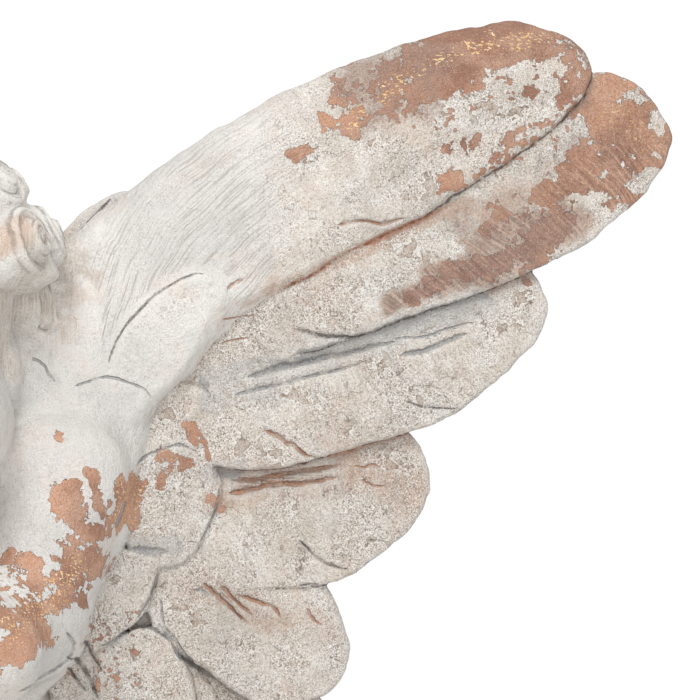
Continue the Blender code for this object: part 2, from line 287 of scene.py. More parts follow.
# The wing lies in a plane that falls back outwards: y at x = 60 and its slope.
SWEEP_X, SWEEP_Y, SWEEP_SLOPE = 60, 18, 0.16
STATIONS = (0, 1 / 3, 2 / 3, 0.9)  # where a feather's half widths are given, in its length
MARGIN = 7  # room round a lobe for the soft joint


def widths(values, u):
    """Half width at u along a feather, from its values at the stations."""
    out = np.full(u.shape, float(values[-1]))
    for k in (3, 2, 1):
        here = values[k - 1] + (values[k] - values[k - 1]) * smooth(STATIONS[k - 1], STATIONS[k], u)
        out = np.where(u <= STATIONS[k], here, out)
    return out


def middle_line(points, u):
    """Places on a feather's middle line, and its direction there."""
    p = np.array(points, float)
    u = u[:, None]
    place = ((1 - u) ** 3) * p[0] + 3 * ((1 - u) ** 2) * u * p[1] + 3 * (1 - u) * u * u * p[2] + u ** 3 * p[3]
    ahead = 3 * ((1 - u) ** 2) * (p[1] - p[0]) + 6 * (1 - u) * u * (p[2] - p[1]) + 3 * u * u * (p[3] - p[2])
    return place, ahead / np.linalg.norm(ahead, axis=1)[:, None]


def feather_outline(line, above, below, tips):
    """Closed outline of a feather in the wing's plane, its middle line and its length."""
    fine = np.linspace(0, 1, 300)
    steps = np.linalg.norm(np.diff(middle_line(line, fine)[0], axis=0), axis=1)
    run = np.concatenate([[0], np.cumsum(steps)])
    length = run[-1]
    u = 0.5 - 0.5 * np.cos(math.pi * np.linspace(0, 1, 76))
    place, ahead = middle_line(line, np.interp(u * length, run, fine))
    up = np.stack([-ahead[:, 1], ahead[:, 0]], axis=1)

    def round_off(rest, share):
        return np.sqrt(np.maximum(0, 1 - np.clip((share - rest) / share, 0, 1) ** 2))

    start = round_off(u, min(0.3, 0.5 * (above[0] + below[0]) / length))
    upper = place + up * (widths(above, u) * round_off(1 - u, tips[0]) * start)[:, None]
    lower = place - up * (widths(below, u) * round_off(1 - u, tips[1]) * start)[:, None]
    return np.concatenate([upper, lower[::-1][1:-1]]), place[::3], length


class Lobe:
    """One feather or covert: its outline, and where its thickness lies before the wing's plane."""

    def __init__(self, name, number):
        self.name, self.number = name, number
        self.feather = name in FEATHERS
        if self.feather:
            line, above, below, tips, thick, self.stand, self.lean = FEATHERS[name]
            self.outline, self.middle, self.length = feather_outline(line, above, below, tips)
            self.half_width = 0.5 * (above[2] + below[2])
            self.puff = 0.42 if name == "arm" else 0.26
            self.blend = 0.7
        else:
            points, self.front, self.fall, thick, self.blend = COVERTS[name]
            self.sink = 0.22 if name == "inner_wing" else 0
            self.outline = curve_through(points, closed=True, steps=6)
            self.middle = np.array([points[0], points[len(points) // 2]], float)
            self.length, self.half_width, self.puff = 40, 11, 0.08
        self.half_thick = 0.5 * thick
        self.low = self.outline.min(axis=0) - MARGIN
        self.high = self.outline.max(axis=0) + MARGIN

    def edge(self, along, across):
        """Radius of the rounded edge: the arm is a roll near the body and a crisp feather further out."""
        if self.name == "arm":
            return 9 - 7 * smooth(95, 150, along) * smooth(4, -6, across)
        radius = 5 if self.name == "inner_wing" else 1.5 if self.feather else 1.6
        return radius + 0 * along

    def joint(self, along):
        """Softness of the joint with what lies under it."""
        if self.name == "arm":
            return 11 - 10.4 * smooth(95, 140, along)
        return self.blend + 0 * along

    def fields(self, x, z, seed):
        """Signed distance to the edge, place along and across, middle of the thickness and half of it."""
        e = to_outline(x, z, self.outline)
        e = e + 0.55 * noise(x, z, x * 0, 12, seed) + 0.28 * noise(x, z, x * 0, 4.5, seed + 1)
        d, along, side = to_line(x, z, self.middle)
        across = d * side
        bulge = np.sqrt(np.maximum(0, 1 - (1 - np.clip(e / self.half_width, 0, 1)) ** 2))
        half = self.half_thick * (1 - self.puff + self.puff * bulge)
        if self.feather:
            first, last = self.stand
            stand = first + (last - first) * smooth(0, 0.6, along)
            mid = SWEEP_Y + SWEEP_SLOPE * (x - SWEEP_X) - stand + self.lean * across
            half = half * (1 - 0.32 * along)
            if self.name != "arm":
                half = half * (0.55 + 0.45 * smooth(0, 0.22, 1 - along))
        else:
            sunk = self.sink * np.maximum(0, z - 214)
            mid = self.half_thick - self.front + self.fall * (x - 55) + sunk
        return [v.astype(np.float32) for v in (e, along * self.length, across, mid, half)]


def plate_distance(e, y, mid, half, edge):
    """Distance to a plate with rounded edges."""
    r = np.minimum(half, edge)
    q = r - e
    p = np.abs(y - mid) - half + r
    return np.minimum(np.maximum(q, p), 0) + np.hypot(np.maximum(q, 0), np.maximum(p, 0)) - r


LOBES = [Lobe(name, number) for number, name in enumerate(list(FEATHERS) + list(COVERTS))]


# ------------------------------------------------------------------ where the coat has gone, mm
# Each row: both ends (x, z, x, z) of a worn streak on the front, reach, how bare (1 bare, 0.5 patchy).
BARE = (
    # tip of the topmost feather
    (184, 332, 228, 337, 9, 1.05), (172, 323, 206, 328, 8, 0.86), (176, 312, 190, 317, 6, 0.8),
    (160, 317, 186, 326, 8, 0.78), (157, 304, 170, 317, 4.5, 0.74), (234, 331, 238, 321, 5, 0.98),
    (237, 321, 232, 310, 3, 0.8), (210, 320, 218, 319, 3, 0.62), (193, 296, 199, 299, 3, 0.78),
    (217, 301, 209, 294, 4, 0.8), (218, 301, 226, 305, 2.5, 0.74), (192, 285, 194, 286, 4.5, 0.8),
    (149, 306, 150, 306, 3.2, 0.84), (140, 294, 141, 294, 3.2, 0.84), (203, 288, 204, 289, 2, 0.6),
    # tip of the second feather
    (246, 314, 262, 302, 10, 1.1), (263, 302, 250, 284, 9, 1.05), (246, 302, 234, 288, 8, 0.96),
    (240, 284, 226, 276, 7, 0.9), (226, 280, 222, 264, 8, 0.9), (234, 270, 216, 260, 5, 0.86),
    (205, 271, 207, 272, 3.6, 0.84), (194, 254, 214, 258, 5, 0.8), (178, 245, 192, 251, 3.5, 0.66),
    (228, 302, 230, 301, 3.5, 0.62), (218, 252, 219, 251, 1.6, 0.9),
    # coverts
    (104, 200, 107, 197, 2.8, 0.8), (93, 192, 101, 190, 2.4, 0.78), (98, 188, 94, 184, 2.2, 0.78),
    (110, 177, 112, 174, 2, 0.84), (109, 192, 110, 190, 1.6, 0.7), (84, 184, 82, 171, 3.4, 1.05),
    # shoulder
    (73, 188, 75, 179, 2.4, 0.88), (75, 179, 77, 171, 2.2, 0.86), (64, 181, 66, 173, 4.6, 0.94),
    (68, 169, 73, 168, 3.4, 0.9), (65, 161, 71, 156, 5.4, 0.95), (58, 151, 66, 153, 5, 0.92),
    (51, 141, 63, 147, 6.6, 0.98), (38, 129, 56, 137, 6, 1), (47, 157, 56, 153, 4.2, 0.84),
    (40, 149, 44, 150, 3, 0.88), (43, 143, 50, 143, 2.4, 0.78), (62, 200, 63, 199, 1.8, 0.78),
    (24, 122, 36, 126, 6, 0.86),
)
# Islands of coat left inside the worn places.
LEFT = (
    (208, 322, 230, 324, 4, 0.3), (178, 335, 181, 334, 3, 0.6), (161, 325, 164, 322, 3.5, 0.6),
    (206, 314, 226, 320, 5, 0.25), (190, 308, 204, 312, 6, 0.25), (255, 316, 257, 315, 2.6, 0.9),
    (263, 307, 266, 305, 3, 0.9), (257, 285, 261, 288, 3.6, 0.8), (233, 277, 245, 278, 3.8, 0.75),
    (238, 268, 248, 274, 5, 0.8), (253, 292, 254, 292, 1.5, 0.8), (234, 304, 240, 300, 4, 0.45),
    (212, 282, 220, 276, 4, 0.5), (214, 290, 230, 296, 3.5, 0.5), (62, 137, 67, 141, 2.4, 0.7),
    (44, 134, 48, 138, 2.6, 0.7), (52, 147, 60, 149, 2.2, 0.5),
)
# Where the coat is thin and brown comes through, and where bare clay keeps a grey bloom.
THIN = (
    (188, 251, 216, 258, 7, 0.95), (172, 243, 190, 250, 4, 0.85), (206, 264, 232, 272, 9, 0.85),
    (198, 270, 222, 282, 7, 0.6), (160, 318, 186, 328, 9, 0.75), (164, 308, 184, 314, 8, 0.6),
    (150, 300, 164, 306, 5, 0.4), (116, 183, 158, 187, 4, 0.45), (116, 176, 158, 181, 4, 0.45),
    (46, 236, 62, 258, 12, 0.62), (46, 222, 54, 240, 8, 0.5), (118, 224, 150, 230, 5, 0.22),
    (108, 142, 132, 130, 5, 0.3), (155, 186, 176, 184, 6, 0.3), (188, 290, 216, 302, 7, 0.28),
    (224, 290, 234, 298, 6, 0.45), (86, 160, 98, 158, 4, 0.15),
)
# Where rust-brown has run into the coat, and where a grey wash covers it.
RUSTY = (
    (158, 188, 186, 176, 10, 0.9), (150, 196, 180, 196, 7, 0.7), (116, 186, 150, 190, 7, 0.6),
    (112, 176, 150, 180, 6, 0.55), (106, 148, 134, 134, 8, 0.75), (140, 138, 150, 130, 6, 0.6),
    (116, 232, 150, 244, 9, 0.5), (120, 200, 150, 190, 5, 0.5), (140, 206, 176, 214, 8, 0.3),
    (168, 262, 200, 272, 8, 0.3), (120, 240, 130, 250, 6, 0.6), (86, 196, 104, 206, 7, 0.3),
    (90, 150, 98, 138, 5, 0.25), (60, 236, 70, 250, 8, 0.5), (46, 262, 52, 266, 6, 0.9),
    (196, 290, 226, 300, 7, 0.35), (150, 256, 186, 262, 5, 0.35), (104, 120, 120, 110, 8, 0.25),
    (120, 243, 150, 257, 2.5, 0.8), (150, 257, 180, 270, 3, 1.1), (180, 270, 198, 279, 2.5, 0.9),
)
WASH = (
    (110, 218, 140, 223, 4, 0.9), (140, 223, 204, 243, 5, 0.95), (110, 211, 128, 215, 5, 0.8),
    (84, 163, 98, 161, 3.5, 0.9), (110, 186, 120, 187, 4, 0.7), (64, 216, 90, 208, 6, 0.4),
    (44, 214, 50, 250, 5, 0.5), (42, 208, 56, 218, 6, 0.6), (60, 124, 76, 110, 9, 0.35),
    (66, 152, 84, 132, 6, 0.2), (76, 126, 92, 132, 5, 0.4), (96, 126, 112, 112, 5, 0.2),
    (86, 188, 108, 194, 2.5, 0.5), (250, 312, 236, 300, 4, 0.6), (84, 110, 100, 96, 12, 0.15),
    (70, 270, 60, 256, 6, 0.5), (134, 200, 154, 190, 3, 0.35),
)
# Where the coat hangs on as a lace of small flakes.
LACE = (
    (192, 308, 228, 322, 7, 1), (226, 300, 236, 322, 6, 1), (206, 292, 226, 302, 6, 0.8),
    (240, 272, 262, 290, 8, 0.7), (160, 322, 176, 306, 6, 0.7), (206, 270, 226, 282, 7, 0.9),
    (20, 128, 60, 150, 8, 0.4),
)
# Gold that once lay on the crest of the topmost feather.
GILT = (
    (157, 304, 163, 311, 2.2, 1), (163, 311, 175, 319, 2.2, 1), (175, 319, 188, 328, 2, 0.9),
    (188, 328, 199, 332, 2, 0.9), (199, 332, 216, 335, 3, 1), (216, 335, 230, 338, 2.5, 0.8),
    (60, 146, 66, 158, 5, 0.8), (50, 140, 60, 146, 6, 0.7), (83, 184, 82, 171, 4, 0.9),
    (250, 312, 262, 300, 8, 0.35), (236, 288, 226, 276, 8, 0.3),
)


def streaks(x, z, rows):
    """How strongly each place is touched by streaks of paint or wear."""
    out = np.zeros(x.shape, np.float32)
    for ax, az, bx, bz, reach, strength in rows:
        near = (x > min(ax, bx) - 2 * reach) & (x < max(ax, bx) + 2 * reach)
        near &= (z > min(az, bz) - 2 * reach) & (z < max(az, bz) + 2 * reach)
        if near.any():
            d = to_line(x[near], z[near], ((ax, az), (bx, bz)))[0]
            out[near] = np.maximum(out[near], strength * smooth(1.7 * reach, 0.35 * reach, d))
    return out


def hollows(verts, nor, around, rounds):
    """How deep each vertex lies below its surroundings, in mm, after some rounds of averaging."""
    a, b = [np.concatenate([pair[k] for pair in around]) for k in (0, 1)]
    degree = np.maximum(1, np.bincount(a, minlength=len(verts)))
    mean, out = verts, []
    for turn in range(1, max(rounds) + 1):
        mean = np.stack([np.bincount(a, weights=v[b], minlength=len(verts)) / degree for v in mean.T], 1)
        if turn in rounds:
            out.append(((mean - verts) * nor).sum(1))
    return out


def paint_values(p, nor, around, tone):
    """Vertex values the coat reads."""
    tight, wide = hollows(p, nor, around, (5, 26))
    px, y, z = p.T
    x = np.abs(px)
    facing = smooth(0.35, -0.25, nor[:, 1])
    bent = []
    for k, v in enumerate((x, z)):
        for amount, scale, seed in ((2, 8, 81), (1.2, 3.6, 83), (0.6, 1.9, 85)):
            v = v + amount * noise(px, y, z, scale, seed + k)
        bent.append(v + 15 * noise(px, y, z, 90, 87 + k) * (px < 0))
    bare = (streaks(*bent, BARE) - streaks(*bent, LEFT)) * (0.6 + 0.4 * facing)
    behind = 0.35 * smooth(0.1, 0.8, noise(px, y, z, 46, 90)) * (1 - facing)
    behind = behind + 0.3 * smooth(0.25, 0.9, noise(px, y, z, 38, 91)) * (x < 90) * (z < 140)
    tables = {"thin": THIN, "gilt": GILT, "lace": LACE, "wash": WASH}
    values = {name: streaks(*bent, rows) * facing for name, rows in tables.items()}
    values["gilt"] *= np.where(px > 0, 1, 0.5)
    values["rusty"] = streaks(x, z, RUSTY) * facing
    values["bare"] = np.maximum(bare, behind * (x < 140))
    values["warm"] = np.clip(tone + 0.15 * noise(px, y, z, 23, 77), 0, 1)
    values["hollow"] = np.clip(1.6 * tight / 0.35, 0, 1) * 0.55 + np.clip(wide / 1.5, 0, 1) * 0.45
    values["crest"] = np.clip(-tight / 0.3, 0, 1)
    return values


# ------------------------------------------------------------------ the coat


def linear(red, green, blue):
    """sRGB 0..255 to linear."""
    shares = [v / 255 for v in (red, green, blue)]
    return (*[v / 12.92 if v <= 0.04045 else ((v + 0.055) / 1.055) ** 2.4 for v in shares], 1)


class Value:
    """A value in a shader, which can be added and multiplied like a number."""

    def __init__(self, graph, socket):
        self.graph, self.socket = graph, socket

    def math(self, operation, other=0):
        return self.graph.node("ShaderNodeMath", {0: self, 1: other}, operation=operation)[0]

    def __add__(self, other):
        return self.math("ADD", other)

    def __mul__(self, other):
        return self.math("MULTIPLY", other)

    def __rsub__(self, number):
        return self * -1 + number

    def step(self, low, high, first=0, last=1):
        """Goes softly from first at low to last at high."""
        inputs = {0: self, 1: low, 2: high, 3: first, 4: last}
        return self.graph.node("ShaderNodeMapRange", inputs, interpolation_type="SMOOTHSTEP")[0]

    def around(self, amount):
        """A noise of 0..1 made to swing about zero."""
        return (self + -0.5) * amount

    def over(self, amount, colour):
        """This colour with another laid over it; a colour of three is sRGB 0..255."""
        below, above = [linear(*c) if isinstance(c, tuple) else c for c in (self, colour)]
        return self.graph.node("ShaderNodeMix", {0: amount, 6: below, 7: above}, data_type="RGBA")[2]


class Graph:
    """The nodes of one shader."""

    def __init__(self, tree):
        self.tree = tree
        tree.nodes.clear()

    def node(self, kind, inputs=(), **settings):
        """Outputs of a new node; an input is a number, a colour or a value of this graph."""
        node = self.tree.nodes.new(kind)
        for key, value in settings.items():
            setattr(node, key, value)
        for key, value in dict(inputs).items():
            if isinstance(value, Value):
                self.tree.links.new(value.socket, node.inputs[key])
            else:
                node.inputs[key].default_value = value
        return [Value(self, socket) for socket in node.outputs]

    def mix(self, amount, first, second):
        """From one sRGB colour to another."""
        ends = {0: amount, 6: linear(*first), 7: linear(*second)}
        return self.node("ShaderNodeMix", ends, data_type="RGBA")[2]

    def noise(self, vector, scale, detail, rough):
        inputs = {"Vector": vector, "Scale": scale, "Detail": detail, "Roughness": rough}
        return self.node("ShaderNodeTexNoise", inputs)[0]

    def attribute(self, name):
        return self.node("ShaderNodeAttribute", attribute_name=name)[2]

    def vector(self, *parts):
        return self.node("ShaderNodeCombineXYZ", dict(enumerate(parts)))[0]

    def parts(self, vector):
        return self.node("ShaderNodeSeparateXYZ", {0: vector})

    def vector_attribute(self, name):
        return self.parts(self.node("ShaderNodeAttribute", attribute_name=name)[1])


def brush_strokes(g, s):
    """Noise drawn out into hairs along the arm, and elsewhere into barbs slanting back from the quill."""
    bend = g.noise(s.place, 0.035, 1, 0.5) * 14
    near_body = (150 - s.along).math("MAXIMUM")
    leaning = s.across + near_body * near_body * 0.003 + bend * 0.35
    slanted = s.along + s.across.math("ABSOLUTE") * -0.45 + bend
    barbs_at = g.vector(slanted * 0.72, s.across * 0.06, s.kind)
    hairs_at = g.vector(s.along * 0.05, leaning * 1.25, s.kind)
    is_arm = s.kind.step(10, 20, 1, 0)
    strokes_at = g.node("ShaderNodeMix", {0: is_arm, 4: barbs_at, 5: hairs_at}, data_type="VECTOR")[1]
    return g.noise(strokes_at, 1, 2, 0.6)


class Surface:
    """What the coat reads: the vertex values, the strokes, and noises from stains down to grit."""

    def __init__(self, g):
        coords = g.node("ShaderNodeTexCoord")[3]
        self.place = g.node("ShaderNodeVectorMath", {0: coords, 3: 1 / MM}, operation="SCALE")[0]
        self.along, self.across, self.kind = g.vector_attribute("lay")
        for name in ("bare", "thin", "lace", "gilt", "rusty", "wash", "warm", "hollow", "crest", "seam",
                     "stroke"):
            setattr(self, name, g.attribute(name))
        for name, scale, detail, rough in (
                ("cloud", 0.022, 2, 0.55), ("stain", 0.042, 5, 0.68), ("patch", 0.065, 2, 0.6),
                ("mottle", 0.09, 4, 0.62), ("scurf", 0.105, 3, 0.58), ("crumb", 0.16, 3, 0.6),
                ("ragged", 0.36, 3, 0.64), ("coarse", 0.8, 1, 0.65), ("grain", 1.3, 2, 0.7),
                ("sand_grain", 1.9, 1, 0.7), ("grit", 2.6, 1, 0.6)):
            setattr(self, name, g.noise(self.place, scale, detail, rough))
        self.strokes = brush_strokes(g, self)
        self.fibre = self.strokes.around(1) * self.stroke.step(0, 0.1)


def worn_places(g, s):
    """Where the coat has come off, and the edge left round those places."""
    chip = s.ragged * 0.66 + s.crumb * 0.34
    eaten = g.noise(s.place, 0.085, 3, 0.66).around(1.4) + chip.around(2.9) + s.crest * 0.08
    s.wear = s.bare + eaten * s.bare.step(0, 0.3, 0.25, 1)
    s.wear = s.wear + s.lace * (g.noise(s.place, 0.22, 2, 0.64).around(5.5) + -0.1)
    s.gone = s.wear.step(0.488, 0.512)
    s.edge = s.wear.step(0.38, 0.488) * (1 - s.gone)


def whitewash(g, s):
    """The coat: smooth and cool where it is thick, sandy and warm where it is worn."""
    s.sandy = (s.warm + s.mottle.around(0.8) + s.cloud.around(0.5)).step(0.1, 0.7)
    s.washed = (s.wash + s.grain.around(0.8) + s.scurf.around(1.2)).step(0.3, 0.62)
    s.worn = s.sandy * (1 - s.washed * 0.45)
    uneven = s.worn * s.patch.step(0.36, 0.62, 0.3, 1.15) + s.scurf.step(0.4, 0.6, 0.08, 0.26)
    cool = g.mix(s.cloud.step(0.38, 0.62), (210, 207, 203), (228, 225, 220))
    sand = g.mix(s.mottle.step(0.36, 0.64), (218, 205, 190), (242, 236, 227))
    white = cool.over(s.sandy, sand)
    white = white.over(s.stain.step(0.5, 0.62) * (s.sandy * 0.5 + 0.2), (222, 200, 180))
    white = white.over(s.stain.step(0.47, 0.38) * (s.sandy * 0.24 + 0.14), (188, 183, 176))
    rust_run = s.rusty + s.fibre * 0.9 + s.mottle.around(1.8)
    white = white.over(rust_run.step(0.35, 0.95) * 0.75, (192, 156, 130))
    white = white.over(s.washed * 0.55, g.mix(s.scurf.step(0.4, 0.6), (172, 172, 172), (208, 207, 204)))
    white = white.over(uneven * 0.26 + 0.06, g.mix(s.grit.step(0.34, 0.66), (120, 106, 94), (255, 255, 255)))
    for specks, least, colour in (
            (s.sand_grain.step(0.46, 0.36) * 0.52, 0, (150, 132, 116)),
            (s.sand_grain.step(0.54, 0.62) * 0.55, 0, (255, 252, 247)),
            (s.grain.step(0.42, 0.33) * 0.58, 0.086, (146, 122, 104)),
            (s.grain.step(0.57, 0.66) * 0.58, 0.138, (252, 249, 244)),
            (s.coarse.step(0.36, 0.3) * 0.62, 0.097, (140, 120, 104))):
        white = white.over(specks * (uneven + least), colour)
    return brushed(g, s, scaled_and_cracked(g, s, white))


def scaled_and_cracked(g, s, white):
    """A second skin of the coat that has scaled off in places, with a painted highlight on each scab's rim
    and painted shadow just inside it, and hair cracks.
    """
    scaling = s.patch.step(0.5, 0.56)
    scab = s.scurf.step(0.585, 0.6) * scaling * s.worn
    rim = s.scurf.step(0.555, 0.585) * s.scurf.step(0.6, 0.588) * scaling * s.worn
    painted_scab_shadow = s.scurf.step(0.59, 0.598) * s.scurf.step(0.625, 0.602) * scab
    crack = g.noise(s.place, 0.075, 3, 0.5).around(1).math("ABSOLUTE").step(0.01, 0.003)
    white = white.over(scab * 0.55, (186, 166, 148))
    # Painted shadow just inside each scab's edge, then a painted highlight on its rim.
    white = white.over(painted_scab_shadow * 0.6, (122, 100, 84))
    white = white.over(rim * 0.7, (248, 244, 238))
    return white.over(crack * s.crumb.step(0.5, 0.6) * (s.sandy * 0.75 + 0.25) * 0.6, (112, 96, 84))


def brushed(g, s, white):
    """Brush lines, the brown that comes through where the coat is thin, a painted highlight on crests, and
    pale flake edges.
    """
    lined = g.noise(s.place, 0.035, 2, 0.6).step(0.36, 0.54) * s.stroke
    white = white.over(s.strokes.step(0.5, 0.38) * lined * 0.44, (150, 141, 132))
    streaked = s.fibre.step(-0.15, 0.15)
    beige = g.mix(streaked, (150, 140, 128), (204, 196, 184))
    brown = beige.over(s.warm.step(0.1, 0.4), g.mix(streaked, (142, 112, 98), (194, 166, 148)))
    s.scuff = s.thin + s.fibre * 0.8 + s.mottle.around(1) + s.grain.around(1)
    white = white.over(s.scuff.step(0.3, 0.78) * 0.85, brown)
    white = white.over(s.edge * 0.5, (242, 240, 236))
    # Painted highlight on convex crests.
    return white.over(s.crest * 0.3, (240, 235, 227))


def fired_clay(g, s):
    """The clay under the coat, with what is left of the gilding, a painted highlight on crests and a painted
    shadow beside the coat's edge.
    """
    clay = g.mix(g.noise(s.place, 0.035, 2, 0.6).step(0.36, 0.64), (162, 121, 102), (208, 160, 132))
    s.ridged = (s.stroke + 0.35) * s.stroke * s.patch.step(0.36, 0.54, 0.6, 1.5)
    s.ridged = s.ridged * s.across.step(7, -4, 0.22, 1)
    for amount, colour in (
            (s.mottle.step(0.42, 0.62) * 0.45, (212, 176, 153)),
            (s.scuff.step(0.35, 0.85) * 0.8, (156, 129, 118)),
            (s.grit.step(0.58, 0.36) * 0.35, (116, 84, 70)),
            (s.fibre.step(0.02, -0.12) * s.ridged * 0.75, (122, 92, 80)),
            (s.fibre.step(0.05, 0.15) * s.ridged * 0.6, (218, 188, 168)),
            (s.grain.step(0.44, 0.34) * 0.35, (128, 94, 80)),
            (s.grain.step(0.57, 0.66) * 0.28, (220, 200, 186)),
            # Painted highlight on convex crests of the bare clay.
            (s.crest * 0.25, (214, 172, 146))):
        clay = clay.over(amount, colour)
    px, py, pz = g.parts(s.place)
    vein = g.noise(g.vector(px * 0.42, py, pz), 1.35, 1, 0.55) + s.gilt * 0.06
    vein = vein.step(0.648, 0.676) * s.gilt.step(0.15, 0.6)
    gold = vein.math("MAXIMUM", s.grit.step(0.74, 0.77) * 0.8)
    clay = clay.over(gold, g.mix(s.grain.step(0.45, 0.6), (228, 180, 112), (244, 224, 190)))
    # Painted shadow: darker clay just beside the edge of the coat.
    return clay.over(s.wear.step(0.6, 0.515) * s.gone * 0.32, (112, 82, 68))


def seam_rust_wash_and_painted_shade(g, s, colour):
    """Grey in the hollows, partly wash settled there and partly painted shade; painted shade along the seams;
    rust in the seams; and a painted shadow line under each edge.
    """
    # Grey in the hollows: partly grey wash settled there, partly painted shade where the surface lies deeper.
    colour = colour.over((s.hollow + s.grain.around(0.7)).step(0.4, 1.1) * 0.32, (148, 143, 138))
    # Painted shade on the washed coat of a lobe next to a seam, below the edge that lies over it.
    colour = colour.over(s.seam.step(7, 0.5) * s.washed * 0.6, (142, 142, 143))
    joint = s.seam + g.noise(s.place, 0.45, 2, 0.6).around(1.6)
    rusty_seam = s.rusty.step(0.45, 0.95)
    # Painted shade: a soft grey band along each seam.
    colour = colour.over(joint.step(2.6, 0.5) * 0.2, (156, 150, 145))
    colour = colour.over(joint.step(2, 0.8) * rusty_seam * 0.6, (182, 124, 94))
    # Painted shadow: a thin dark line under each edge, a dark rust colour where rust has run into the seam.
    return colour.over(joint.step(0.7, 0.15) * 0.75, g.mix(rusty_seam, (72, 56, 46), (140, 84, 58)))


def curl_lines(g, s, colour):
    """The dark winding groove of each curl."""
    curl_x, curl_y, curl_fade = g.vector_attribute("curl")
    ring = (curl_x * curl_x + curl_y * curl_y).math("SQRT")
    winding = curl_y.math("ARCTAN2", curl_x) + ring * (2 * math.pi / CURL_PITCH) + s.crumb.around(1.6)
    lock = (winding * 3).math("SINE") * curl_fade.step(0.3, 1)
    return colour.over(lock.step(-0.35, -0.95) * s.scurf.step(0.42, 0.58) * 0.5, (104, 98, 94))


def carved_lines(g, s, colour):
    """Dark, grey and rusty lines, each with a coloured floor, a painted shadow on the upper wall and a
    painted highlight on the lower lip; also how deep they are.
    """
    carved = 0
    faded = s.crumb.step(0.38, 0.56) * 0.6 + 0.4
    # Per kind: floor colour, cover and width, then the colour and cover of the painted shadow on the upper
    # wall.
    tints = (((108, 104, 101), 0.8, 0.75, (70, 64, 60), 0.42),
             ((160, 161, 162), 0.75, 1, (96, 93, 92), 0.45),
             ((196, 150, 124), 0.9, 1.15, (112, 74, 56), 0.62))
    for cut, reach, tint in zip(g.vector_attribute("cuts"), g.vector_attribute("reach"), tints):
        floor_tint, floor_cover, floor_width, upper_wall_shadow_tint, upper_wall_shadow_cover = tint
        q = cut + s.coarse.around(1.1)
        here = reach.step(2, 1.5) * faded
        flat = q.math("ABSOLUTE")
        cover = s.grain.around(-1.2) + floor_cover
        colour = colour.over(flat.step(floor_width, 0.3) * here * cover, floor_tint)
        # Painted shadow on the upper wall of each line.
        colour = colour.over(q.step(0.15, 0.6) * q.step(1.2, 0.8) * here * upper_wall_shadow_cover, upper_wall_shadow_tint)
        # Painted highlight on the lower lip of each line.
        colour = colour.over(q.step(-0.95, -1.25) * q.step(-1.9, -1.4) * here * 0.4, (244, 240, 234))
        carved = flat.step(1.3, 0.2) * here + carved
    return colour, carved


def fine_relief(s, carved):
    """Relief too fine for the mesh."""
    height = s.coarse.around(0.75) + s.grain.around(0.85) + s.sand_grain.around(0.75)
    height = height * (s.warm * 0.85 + 0.25) + s.ragged.around(0.8)
    height = height + s.fibre * (s.stroke * 0.55 + 0.1) + s.fibre * 1.5 * s.gone * s.ridged
    return height * (1 - s.gone * 0.25) + (1 - s.wear.step(0.46, 0.53)) * 0.75 + carved * -0.6


def coat():
    """Whitewash over fired clay: sandy or smooth, stained, washed with grey, and flaked off in places."""
    material = bpy.data.materials.new("whitewashed_terracotta")
    material.use_nodes = True
    g = Graph(material.node_tree)
    s = Surface(g)
    worn_places(g, s)
    colour = whitewash(g, s).over(s.gone, fired_clay(g, s))
    colour = curl_lines(g, s, seam_rust_wash_and_painted_shade(g, s, colour))
    colour, carved = carved_lines(g, s, colour)
    bump = g.node("ShaderNodeBump", {"Strength": 1, "Distance": MM, "Height": fine_relief(s, carved)})[0]
    shader = g.node("ShaderNodeBsdfPrincipled", {"Base Color": colour, "Roughness": s.gone * -0.19 + 0.93,
                                                 "Normal": bump, "Specular IOR Level": 0.25})[0]
    g.node("ShaderNodeOutputMaterial", {"Surface": shader})
    return material


# ------------------------------------------------------------------ the clay
FAR = 20  # distance to the surface that an empty block starts with
WING_FRONT, WING_BACK = -60, 68  # between which y the lobes of a wing lie
CURL_PITCH = 6.2  # width of one turn of a curl


